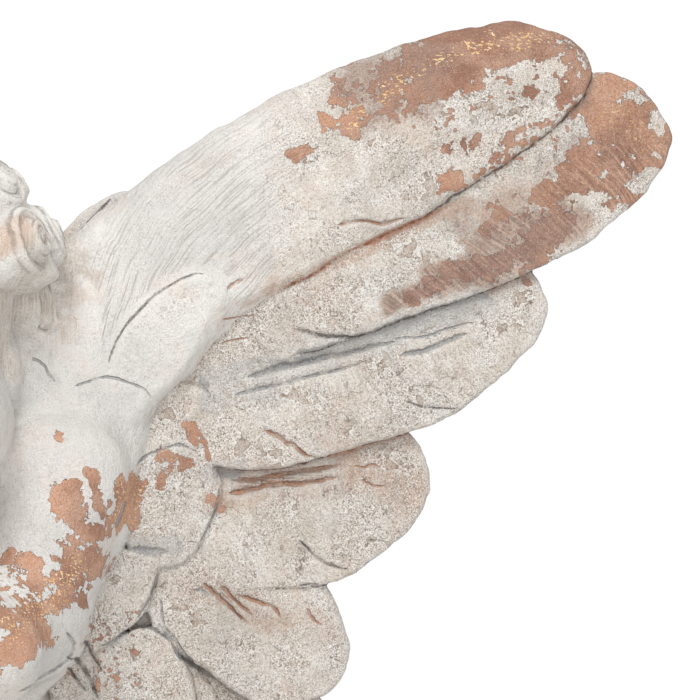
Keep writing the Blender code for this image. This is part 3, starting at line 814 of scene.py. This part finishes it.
class Clay:
    """A block of distances to the surface, onto which rounded masses are pressed one by one."""

    def __init__(self, axes):
        self.axes = [np.array(axis, np.float32) for axis in axes]
        self.f = np.full([len(axis) for axis in axes], FAR, np.float32)
        self.shown = []
        self.curls = []

    def window(self, low, high):
        """The cells inside a box, and their places along each axis."""
        cut = []
        for axis, first, last in zip(self.axes, low, high):
            a = int(np.searchsorted(axis, first))
            cut.append(slice(a, max(a, int(np.searchsorted(axis, last, side="right")))))
        return (tuple(cut), *np.ix_(*[axis[part] for axis, part in zip(self.axes, cut)]))

    def press(self, cut, g, blend, cut_away=False):
        """Join a shape to the clay with a soft seam, or cut it away."""
        if not self.f[cut].size:
            return
        sign = -1 if cut_away else 1
        f = sign * self.f[cut]
        h = np.clip(0.5 + 0.5 * (f - g) / blend, 0, 1)
        self.f[cut] = (sign * (f + (g - f) * h - blend * h * (1 - h))).astype(np.float32)

    def ball(self, centre, radii, blend=6, cut_away=False, coil=None):
        """An ellipsoid, or a lock of hair where coil says how it winds."""
        r = np.array(radii, np.float32)
        c = np.array(centre, np.float32)
        cut, x, y, z = self.window(c - r - blend - 3, c + r + blend + 3)
        away = (x - c[0], y - c[1], z - c[2])
        k0 = np.sqrt(sum((d / radius) ** 2 for d, radius in zip(away, r))) + 1e-6
        k1 = np.sqrt(sum((d / radius ** 2) ** 2 for d, radius in zip(away, r))) + 1e-6
        g = k0 * (k0 - 1) / k1
        if coil is not None:
            g = g + self.coiled(away, c, float(r[0]), *coil)
        self.press(cut, g, blend, cut_away)

    def coiled(self, away, centre, radius, out, turn, way):
        """Relief of a lock of hair that winds about the direction out."""
        side = np.cross(out, (0, 0, 1))
        side /= np.linalg.norm(side) + 1e-9
        top = np.cross(side, out)
        self.curls.append((centre, radius, side, top, turn, way))
        a, b = [sum(d * part for d, part in zip(away, axis)) for axis in (side, top)]
        ring = np.sqrt(a * a + b * b)
        wave = np.sin(way * np.arctan2(b, a) + ring * (2 * math.pi / CURL_PITCH) + turn)
        return 1.15 * wave * smooth(0.5, 4, ring) * smooth(1.02, 0.78, ring / radius) - 0.3

    def limb(self, start, end, first, last, blend=6, cut_away=False):
        """A round bar whose radius goes from first to last."""
        a, b = np.array(start, np.float32), np.array(end, np.float32)
        wide = max(first, last) + blend + 3
        cut, x, y, z = self.window(np.minimum(a, b) - wide, np.maximum(a, b) + wide)
        d = b - a
        away = (x - a[0], y - a[1], z - a[2])
        h = np.clip(sum(v * part for v, part in zip(away, d)) / float(d @ d), 0, 1)
        g = np.sqrt(sum((v - h * part) ** 2 for v, part in zip(away, d)))
        self.press(cut, g - (first + (last - first) * h), blend, cut_away)

    def lobe(self, lobe, side):
        """One feather or covert of a wing; side is 1 for the left wing and -1 for the right."""
        xs = sorted((side * lobe.low[0], side * lobe.high[0]))
        cut, x, y, z = self.window((xs[0], WING_FRONT, lobe.low[1]), (xs[1], WING_BACK, lobe.high[1]))
        if not self.f[cut].size:
            return
        gx, gz = np.meshgrid(side * x[:, 0, 0], z[0, 0, :], indexing="ij")
        fields = lobe.fields(gx, gz, 300 + 7 * lobe.number + (150 if side < 0 else 0))
        self.shown.append((lobe, side, cut, fields))
        e, along, across, mid, half = fields
        deep = float((mid - half).min()) - 4, float((mid + half).max()) + 4
        cut, x, y, z = self.window((xs[0], deep[0], lobe.low[1]), (xs[1], deep[1], lobe.high[1]))
        plate = [v[:, None, :] for v in (e, mid, half, lobe.edge(along, across), lobe.joint(along))]
        e, mid, half, edge, joint = plate
        self.press(cut, plate_distance(e, y, mid, half, edge), joint)

    def both(self, shape, *args, **options):
        """A shape and its mirror image across x = 0."""
        points = 2 if shape == "limb" else 1
        for side in (1, -1):
            moved = [(side * x, y, z) for x, y, z in args[:points]]
            getattr(self, shape)(*moved, *args[points:], **options)

    def relief(self, low, high, change, band=5):
        """Move the surface inside a box by change(x, y, z) millimetres, outwards where positive."""
        cut, x, y, z = self.window(low, high)
        f = self.f[cut]
        i, j, k = np.nonzero(np.abs(f) < band)
        f[i, j, k] -= change(x[i, 0, 0], y[0, j, 0], z[0, 0, k]).astype(np.float32)

    def skin(self):
        """Vertices and outward quads of the surface (surface nets)."""
        f, inside = self.f, self.f < 0
        size = np.array(f.shape) - 1
        count = sum(inside[tuple(slice(c, c + n) for c, n in zip(corner, size))].astype(np.int8)
                    for corner in CORNERS)
        at = np.argwhere((count > 0) & (count < 8))
        cell = np.full(size, -1, np.int64)
        cell[tuple(at.T)] = np.arange(len(at))
        summed, number = np.zeros((len(at), 3)), np.zeros(len(at))
        for corner, axis in itertools.product(CORNERS, range(3)):
            if corner[axis]:
                continue
            near = at + corner
            far = near + np.eye(3, dtype=int)[axis]
            f_near, f_far = f[tuple(near.T)], f[tuple(far.T)]
            hit = (f_near < 0) != (f_far < 0)
            point = np.tile(np.array(corner, float), (hit.sum(), 1))
            point[:, axis] += f_near[hit] / (f_near[hit] - f_far[hit])
            summed[hit] += point
            number[hit] += 1
        place = at + summed / number[:, None]
        verts = np.stack([np.interp(v, np.arange(len(axis)), axis) for v, axis in zip(place.T, self.axes)], 1)
        quads = []
        for axis in range(3):
            u, v = (axis + 1) % 3, (axis + 2) % 3
            turned = np.moveaxis(inside, axis, 0)
            where = np.argwhere(np.moveaxis(turned[:-1] != turned[1:], 0, axis))
            where = where[(where[:, [u, v]] > 0).all(1) & (where[:, [u, v]] < size[[u, v]]).all(1)]
            around = []
            for du, dv in ((-1, -1), (0, -1), (0, 0), (-1, 0)):
                n = where.copy()
                n[:, u] += du
                n[:, v] += dv
                around.append(cell[tuple(n.T)])
            quad = np.stack(around, 1)
            flip = ~inside[tuple(where.T)]
            quad[flip] = quad[flip][:, ::-1]
            quads.append(quad)
        return verts, np.concatenate(quads)


# ------------------------------------------------------------------ the seated child, mm
HEAD = (0, -26, 240)


def between(a, b, c, d, v):
    """1 between b and c, and softly down to 0 at a and d."""
    return smooth(a, b, v) * smooth(d, c, v)


def rock(clay):
    """Low rocky base and the rock the child sits on."""
    clay.ball((0, -22, 2), (88, 78, 22), 4)
    lumps = 11
    for i in range(lumps):
        angle = 2 * math.pi * (i + 0.5) / lumps
        lump = 19 + 3 * math.sin(2.7 * i)
        place = (68 * math.cos(angle), -22 + 60 * math.sin(angle), 1)
        clay.ball(place, (lump + 10, lump + 8, lump + 1), 5)
    clay.ball((0, 18, 30), (64, 42, 44), 6)
    clay.both("ball", (36, 26, 24), (34, 30, 32), 6)
    clay.both("ball", (25, -96, 0), (21, 23, 8), 5)

    def rough(x, y, z):
        lumpy = 1.8 * noise(x, y, z, 13, 40) + 1 * noise(x, y, z, 5.5, 41)
        return lumpy + 0.45 * noise(x, y, z, 2.5, 42) - 1.6 * np.abs(noise(x, y, z, 21, 43))

    clay.relief((-104, -128, -3), (104, 68, 78), rough)


def body_and_robe(clay):
    """Trunk, and legs drawn up under the robe, with the cloth filling between them down to the base."""
    ball, limb, both = clay.ball, clay.limb, clay.both
    ball((0, 8, 76), (49, 38, 32), 10)
    ball((0, 8, 118), (43, 32, 46), 12)
    ball((0, 10, 152), (48, 28, 30), 12)
    limb((-48, 4, 164), (48, 4, 164), 18, 18, 10)
    limb((0, 0, 160), (0, -18, 196), 27, 25, 10)
    both("limb", (25, 2, 72), (29, -70, 94), 28, 21, 8)
    both("limb", (29, -70, 94), (30, -80, 28), 21, 25, 6)
    both("limb", (28, 6, 46), (29, -66, 50), 32, 26, 8)
    ball((0, -60, 62), (34, 28, 46), 7)
    ball((0, -34, 108), (36, 32, 34), 8)
    both("ball", (46, -46, 26), (26, 42, 24), 6)
    ball((0, -88, 24), (40, 20, 18), 5)

    def folds(x, y, z):
        """Folds falling from the knees, swags between them, and folds at the sides and the back."""
        ax = np.abs(x)
        fall = ridges(np.arctan2(x, -(y + 25)) * 9.5 + 0.9 * noise(x, y, z, 26, 50)
                      + 0.01 * z * np.tanh(x / 8))
        fall = fall * between(14, 24, 66, 100, z) * smooth(10, 24, ax)
        swag = ridges((z - 0.024 * x * x) * 0.17 + 0.35 * noise(x, y, z, 30, 51))
        swag = swag * smooth(30, 20, ax) * between(24, 34, 108, 124, z) * smooth(-50, -62, y)
        side = ridges(0.15 * (z + 0.9 * y) + 0.6 * noise(x, y, z, 28, 54))
        side = side * smooth(30, 44, ax) * between(70, 84, 110, 124, z)
        back = ridges(x * 0.13 + 0.9 * noise(x, y, z, 32, 52) + 0.2)
        back = back * smooth(8, 24, y) * between(58, 76, 120, 150, z)
        return 2.3 * fall + 1.9 * swag + 1.5 * side + 1.6 * back + 0.3 * noise(x, y, z, 6, 53)

    clay.relief((-84, -126, 14), (84, 60, 160), folds, band=7)


def feet(clay):
    """Bare feet under the hem."""
    clay.both("ball", (24.5, -97, 12.5), (10.5, 16, 8), 2.5)
    for toe in range(5):
        across = 16.8 + 4 * toe
        tip = 3.5 - 0.25 * toe
        clay.both("limb", (across, -106, 10.5), (across + 0.5, -115.5 + 1.2 * toe, 8.8), tip, tip, 0.7)


def arms(clay):
    """Elbows on the knees, hands folded under the chin, and the edge of the robe round the neck and arms."""
    ball, limb, both = clay.ball, clay.limb, clay.both
    both("limb", (59, -6, 184), (46, -14, 140), 25, 24, 8)
    both("limb", (46, -16, 142), (40, -50, 130), 22, 18, 8)
    both("limb", (40, -52, 130), (13, -80, 160), 17, 12, 5)
    both("limb", (34, -14, 146), (20, -52, 136), 20, 16, 8)
    ball((0, -40, 158), (24, 26, 26), 8)
    ball((0, -62, 174), (20, 22, 16), 6)
    ball((0, -56, 146), (20, 16, 18), 8)
    both("ball", (8, -81, 161), (13.5, 13, 15), 4)
    for finger in range(6):
        side = 1 if finger % 2 else -1
        lift = 149 + 4.9 * finger
        knuckle = (side * 4, -92.4, lift - 0.8)
        limb((side * 15, -84, lift - 3.6), knuckle, 3.5, 3.5, 1.6)
        limb(knuckle, (side * -8, -91, lift + 2.2), 3.5, 3, 1.6)
    both("limb", (8, -83, 176), (1.6, -90.5, 177), 4.2, 3.5, 1.6)

    def neckline(x, y, z):
        hem = 147 + 0.1 * np.abs(x) - 0.16 * y
        fade = smooth(50, 44, np.abs(x)) * smooth(-52, -46, y) * smooth(172, 160, z)
        return -1.2 * smooth(-0.9, 0.9, z - hem) * fade

    clay.relief((-60, -60, 130), (60, 60, 176), neckline)


def face(clay):
    """A plain, calm child's face, eyes lowered."""
    ball, limb, both = clay.ball, clay.limb, clay.both
    hx, hy, hz = HEAD
    ball(HEAD, (44, 49, 56), 8)
    ball((hx, hy - 12, hz - 36), (48, 36, 32), 10)
    both("ball", (24, -56, 204), (21, 20, 21), 9)
    ball((hx, -69, 187), (13, 11, 9.5), 7)
    # Eyes: a hollow, the ball in it and the line of the closed lids; then the brows.
    both("ball", (19.5, -78, 223), (11, 8, 8), 6, cut_away=True)
    both("ball", (19, -64, 222), (10.5, 10.8, 8.5), 2)
    both("limb", (11.5, -71.3, 219.8), (19, -74, 217.6), 1, 1, 0.8, cut_away=True)
    both("limb", (19, -74, 217.6), (27.5, -70.4, 220.6), 1, 1, 0.8, cut_away=True)
    both("limb", (8.5, -72.5, 235), (19, -73.2, 239), 2.2, 2.4, 6)
    both("limb", (19, -73.2, 239), (30, -66.5, 235.5), 2.4, 1.8, 6)
    # Nose, nostrils, lips and ears.
    limb((hx, -71.5, 231), (hx, -80.5, 214), 3.2, 4.8, 6)
    both("ball", (5, -78, 211.5), (4, 4.6, 3.5), 2.5)
    both("ball", (2.8, -81, 208.4), (1.4, 2, 1.2), 1, cut_away=True)
    both("limb", (0.8, -77.6, 202.2), (7, -75, 201.2), 2.1, 1.2, 2.6)
    ball((hx, -75.6, 197.6), (6.6, 3.6, 2.7), 2.6)
    both("limb", (0, -79.6, 199.8), (5, -78.4, 200), 0.7, 0.7, 1, cut_away=True)
    both("limb", (5, -78.4, 200), (8.6, -75.6, 201.2), 0.7, 0.7, 1, cut_away=True)
    both("ball", (44, -20, 220), (5, 9, 11), 3)


def hair(clay):
    """Short curls in rings round the head, each a little rolled lock."""
    hx, hy, hz = HEAD
    clay.ball((hx, hy + 4, hz + 12), (47, 49, 46), 5)
    clay.ball((hx, hy + 14, hz - 4), (46, 40, 50), 5)
    rings = ((82, 3, 13), (61, 8, 14), (40, 11, 13), (19, 13, 15), (-3, 13, 13), (-24, 12, 12),
             (-44, 9, 11))
    for tier, (lift, count, size) in enumerate(rings):
        elevation = math.radians(lift)
        for i in range(count):
            turn = 2 * math.pi * (i + 0.5 * (tier % 2)) / count + 0.1 * math.sin(3.1 * i + tier)
            px = math.cos(elevation) * math.sin(turn)
            py = -math.cos(elevation) * math.cos(turn)
            pz = math.sin(elevation)
            over_face = py < -0.5 and pz < 0.55 or py < -0.05 and pz < 0.1 or py < 0.3 and pz < -0.2
            if over_face:
                continue
            by_ear = pz < 0.1 and py < 0.55
            grow = size * (1 + 0.1 * math.sin(5 * i + 2 * tier)) * (0.86 if by_ear else 1)
            spot = (hx + px * 50, hy + 1 + py * 47.5, hz + 5 + pz * 48.5)
            way = 1 if (i + tier) % 2 else -1
            clay.ball(spot, (grow, grow, grow * 0.94), 1.8, coil=((px, py, pz), 1.7 * i + tier, way))


def wings(clay):
    """Wings growing out of the shoulders and shoulder blades."""
    clay.both("limb", (18, 26, 138), (66, 20, 188), 20, 18, 10)
    clay.both("limb", (18, 26, 186), (58, 19, 232), 18, 19, 10)
    clay.both("limb", (26, 28, 92), (60, 22, 138), 14, 16, 8)
    clay.both("ball", (40, 16, 150), (34, 22, 46), 10)
    clay.both("ball", (38, 14, 206), (28, 19, 34), 10)
    for side, lobe in itertools.product((1, -1), LOBES):
        clay.lobe(lobe, side)


# Width of the clay's cells, mm, at places along each axis: fine on the left wing, coarser elsewhere.
CELLS = (
    ((-279, 1.5), (-60, 1.4), (20, 1.35), (40, 0.9), (280, 0.8)),
    ((-131, 1.25), (-60, 1.1), (-30, 0.95), (72, 1)),
    ((-5, 1.7), (60, 1.5), (100, 1), (116, 0.85), (350, 0.82)),
)


def grid_lines(stops):
    at, width = zip(*stops)
    lines = [float(at[0])]
    while lines[-1] < at[-1]:
        lines.append(lines[-1] + float(np.interp(lines[-1], at, width)))
    return lines


def modelled():
    """The whole sculpture in clay, standing on z = 0."""
    clay = Clay([grid_lines(stops) for stops in CELLS])
    for part in (rock, body_and_robe, feet, arms, face, hair, wings):
        part(clay)
    clay.f = np.maximum(clay.f, -clay.axes[2][None, None, :])
    return clay


# ------------------------------------------------------------------ the skin and what the paint reads
# How warm the coat is on each lobe, and how strongly brush or barb strokes show there.
TONE = {"arm": (0.22, 1), "inner_wing": (0.05, 0.8), "covert_1": (0.1, 0.3), "back_lobe": (0.3, 0.6),
        "web": (0.6, 0)}
OPEN = 8  # distance to the next seam where there is none near


def sampled(grid, u, v):
    """Bilinear reading of a grid at fractional places."""
    i = np.clip(np.floor(u).astype(int), 0, grid.shape[0] - 2)
    j = np.clip(np.floor(v).astype(int), 0, grid.shape[1] - 2)
    a, b = u - i, v - j
    return ((grid[i, j] * (1 - a) + grid[i + 1, j] * a) * (1 - b)
            + (grid[i, j + 1] * (1 - a) + grid[i + 1, j + 1] * a) * b)


def normals(verts, quads):
    """Vertex normals, each face counting by its area."""
    n = np.zeros_like(verts)
    cross = np.cross(verts[quads[:, 2]] - verts[quads[:, 0]], verts[quads[:, 3]] - verts[quads[:, 1]])
    for corner, axis in itertools.product(range(4), range(3)):
        n[:, axis] += np.bincount(quads[:, corner], weights=cross[:, axis], minlength=len(verts))
    return n / (np.linalg.norm(n, axis=1)[:, None] + 1e-12)


def spread(marked, around, times):
    """Marks with their neighbours, some times over."""
    for _ in range(times):
        wider = marked.copy()
        for a, b in around:
            wider[a[marked[b]]] = True
        marked = wider
    return marked


def lobes_on_skin(clay, verts, n, around):
    """Which lobe each vertex shows, the place on it, its tone and strokes, and how far the next seam is."""
    x, y, z = verts.T
    best = np.full(len(x), 1.4, np.float32)
    lay = np.stack([z, x + 0.6 * y, 0 * x], 1)
    tone = np.zeros(len(x), np.float32)
    stroke = np.full(len(x), 0.15, np.float32)
    seam = np.full(len(x), OPEN, np.float32)
    own_gap = np.full(len(x), OPEN, np.float32)
    owner = np.zeros(len(x), np.int32)
    gaps = []
    for lobe, side, cut, fields in clay.shown:
        gx, gz = clay.axes[0][cut[0]], clay.axes[2][cut[2]]
        index = np.nonzero((x > gx[0]) & (z > gz[0]) & (x < gx[-1]) & (z < gz[-1]))[0]
        u = np.interp(x[index], gx, np.arange(len(gx)))
        v = np.interp(z[index], gz, np.arange(len(gz)))
        e, along, across, mid, half = [sampled(field, u, v) for field in fields]
        g = plate_distance(e, y[index], mid, half, lobe.edge(along, across))
        below = (mid - half < y[index] - 0.8) & (e < 0.6) & (n[index, 1] < 0.3) & (lobe.joint(along) < 3)
        gap = np.maximum(-e, 0) if lobe.feather else 0.25 - 1.5 * np.minimum(e, 0)
        number = side * (lobe.number + 1)
        gaps.append((number, index[below], gap[below]))
        win = g < best[index]
        index, e, along, across = index[win], e[win], along[win], across[win]
        best[index] = g[win]
        owner[index] = number
        own_gap[index] = 2.2 * np.abs(e) if lobe.feather else 3 * np.abs(e) + 0.25
        kind = 5 if lobe.name == "inner_wing" else 50 * lobe.number
        lay[index] = np.stack([along, across, np.full(len(index), kind)], 1)
        warmth, strokes = TONE.get(lobe.name, (0.85, 0.55 if lobe.feather else 0.1))
        if lobe.name == "arm":
            warmth = 0.08 + 0.74 * smooth(115, 185, along - 0.6 * across)
            strokes = strokes * smooth(190, 120, along)
        tone[index] = warmth
        stroke[index] = strokes
    for number, index, gap in gaps:
        other = owner[index] != number
        seam[index[other]] = np.minimum(seam[index[other]], gap[other])
    met = spread(seam < 2.5, around, 3)
    seam = np.where(met & (seam >= OPEN), np.minimum(own_gap, OPEN), seam)
    parted = np.zeros(len(x), bool)
    for a, b in around[::2]:
        apart = owner[a] != owner[b]
        parted[a[apart]] = True
        parted[b[apart]] = True
    stroke = np.where(spread(parted, around, 2), 0, stroke)
    return lay, tone, stroke, seam


def curls_on_skin(clay, verts):
    """Place on the nearest curl, turned so that its spiral starts at angle 0, and how far it fades."""
    curl = np.zeros((len(verts), 3), np.float32)
    closest = np.full(len(verts), 1.12, np.float32)
    for centre, radius, across, up, turn, way in clay.curls:
        index = np.nonzero(np.abs(verts - centre).max(axis=1) < 1.3 * radius)[0]
        away = verts[index] - centre
        distance = np.linalg.norm(away, axis=1) / radius
        closer = distance < closest[index]
        index, away = index[closer], away[closer]
        closest[index] = distance[closer]
        u, v = away @ across, away @ up
        ring, angle = np.hypot(u, v), way * np.arctan2(v, u) + turn
        fade = smooth(1.02, 0.8, ring / radius)
        curl[index] = np.stack([ring * np.cos(angle), ring * np.sin(angle), fade], 1)
    return curl


def hand_work(x, y, z, tone):
    """Unevenness left by the hand and by the mould, deeper pits where the coat is worn."""
    hand = 0.45 * noise(x, y, z, 15, 60) + 0.26 * noise(x, y, z, 5.5, 61) + 0.13 * noise(x, y, z, 2.4, 62)
    pitted = np.minimum(0, noise(x, y, z, 3.4, 64) + 0.45) * smooth(-0.1, 0.4, noise(x, y, z, 17, 65))
    return hand + tone * (0.16 * noise(x, y, z, 3.2, 66) + 0.9 * pitted)


def whole_sculpture():
    """Vertices, quads, normals and the values the paint reads, for the sculpture in one skin."""
    clay = modelled()
    verts, quads = clay.skin()
    n = normals(verts, quads)
    around = [(quads[:, i], quads[:, (i + k) % 4]) for i in range(4) for k in (1, 3)]
    lay, tone, stroke, seam = lobes_on_skin(clay, verts, n, around)
    curl = curls_on_skin(clay, verts)
    x, y, z = verts.T
    ax = np.abs(x)
    depth, cuts = groove_relief(ax, z)
    front = smooth(0.25, -0.25, n[:, 1]) * smooth(100, 112, z) * smooth(48, 56, ax)
    hand = hand_work(x, y, z, tone) + crumb_relief(ax, z) * front
    hand = hand * smooth(0.2, 3, z) * (n[:, 2] > -0.9)
    cuts = np.clip(np.where(front[:, None] > 0.5, cuts, NO_CUT), -NO_CUT, NO_CUT)
    verts = verts + n * (depth * front + hand)[:, None]
    n = normals(verts, quads)
    values = {"lay": lay, "stroke": stroke, "cuts": cuts, "reach": np.abs(cuts), "seam": seam, "curl": curl}
    values.update(paint_values(verts, n, around, tone))
    return verts, quads, n, values


# Pieces of the skin, each within a box; a face goes to the first box its middle lies in.
PIECES = (
    ("wing_left_upper", (62, -999, 246), (999, 999, 999)),
    ("wing_left_middle", (62, -999, 172), (999, 999, 246)),
    ("wing_left_lower", (62, -999, 70), (999, 999, 172)),
    ("wing_right", (-999, -999, 70), (-72, 999, 999)),
    ("head", (-72, -999, 178), (62, 999, 999)),
    ("body", (-999, -999, 78), (999, 999, 178)),
    ("base", (-999, -999, -999), (999, 999, 78)),
)


def mesh_object(name, verts, faces):
    """A mesh object from places in millimetres."""
    mesh = bpy.data.meshes.new(name)
    mesh.from_pydata((np.asarray(verts) * MM).tolist(), [], np.asarray(faces).tolist())
    mesh.validate()
    obj = bpy.data.objects.new(name, mesh)
    bpy.context.scene.collection.objects.link(obj)
    return obj


def put(mesh, name, values):
    """Keep values on the vertices for the coat to read."""
    kind, field = ("FLOAT_VECTOR", "vector") if values.ndim == 2 else ("FLOAT", "value")
    mesh.attributes.new(name, kind, "POINT").data.foreach_set(field, values.astype(np.float32).ravel())


def cut_up(verts, quads, n, values):
    """The pieces of the skin, each with its normals."""
    middle = verts[quads].mean(axis=1)
    free = np.ones(len(quads), bool)
    for name, low, high in PIECES:
        take = free & ((middle >= low) & (middle < high)).all(axis=1)
        free &= ~take
        used, index = np.unique(quads[take], return_inverse=True)
        piece = mesh_object(name, verts[used], index.reshape(-1, 4))
        for key, value in values.items():
            put(piece.data, key, value[used])
        yield piece, n[used]


material = coat()
for piece, piece_normals in cut_up(*whole_sculpture()):
    piece.data.materials.append(material)
    piece.data.polygons.foreach_set("use_smooth", np.ones(len(piece.data.polygons), bool))
    piece.data.normals_split_custom_set_from_vertices(piece_normals)
    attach(piece, "root")
    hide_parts("angel")

# ------------------------------------------------------------------ floor, light and camera
FLOOR_RADIUS, FLOOR_DROP, FLOOR_SIDES = 950, 0.2, 64
turns = [2 * math.pi * i / FLOOR_SIDES for i in range(FLOOR_SIDES)]
rim = [(FLOOR_RADIUS * math.cos(turn), FLOOR_RADIUS * math.sin(turn), -FLOOR_DROP) for turn in turns]
floor = mesh_object("floor", rim, [range(FLOOR_SIDES)])
pale = bpy.data.materials.new("pale_floor")
pale.use_nodes = True
pale.node_tree.nodes["Principled BSDF"].inputs["Base Color"].default_value = (0.86, 0.86, 0.86, 1)
pale.node_tree.nodes["Principled BSDF"].inputs["Roughness"].default_value = 1
floor.data.materials.append(pale)

world = bpy.data.worlds.new("white")
bpy.context.scene.world = world
world.use_nodes = True
sky = Graph(world.node_tree)
seen = sky.node("ShaderNodeLightPath")[0]
strength = seen.step(0, 1, 0.63, 1.02)
light = sky.node("ShaderNodeBackground", {"Color": (1, 1, 1, 1), "Strength": strength})
sky.node("ShaderNodeOutputWorld", {"Surface": light[0]})


def lamp(name, place, aim, size, power):
    """A round lamp at a place, turned to what it lights."""
    data = bpy.data.lights.new(name, "AREA")
    data.shape = "DISK"
    data.size = size
    data.energy = power
    obj = bpy.data.objects.new(name, data)
    bpy.context.scene.collection.objects.link(obj)
    obj.location = place
    obj.rotation_euler = (Vector(aim) - Vector(place)).to_track_quat("-Z", "Y").to_euler()


lamp("key", (-0.12, -1.05, 1.28), (0.12, 0, 0.22), 0.6, 11.2)
lamp("fill", (0.45, -1.7, 0.1), (0.12, 0, 0.2), 1.1, 9)

camera_data = bpy.data.cameras.new("camera")
camera_data.lens = 183.7
camera_data.sensor_width = 36
camera = bpy.data.objects.new("camera", camera_data)
bpy.context.scene.collection.objects.link(camera)
camera.location = (0.1575, -1.2, 0.2275)
camera.rotation_euler = (math.pi / 2, 0, 0)
bpy.context.scene.camera = camera
bpy.context.scene.view_settings.view_transform = "Standard"
bpy.context.scene.view_settings.look = "None"
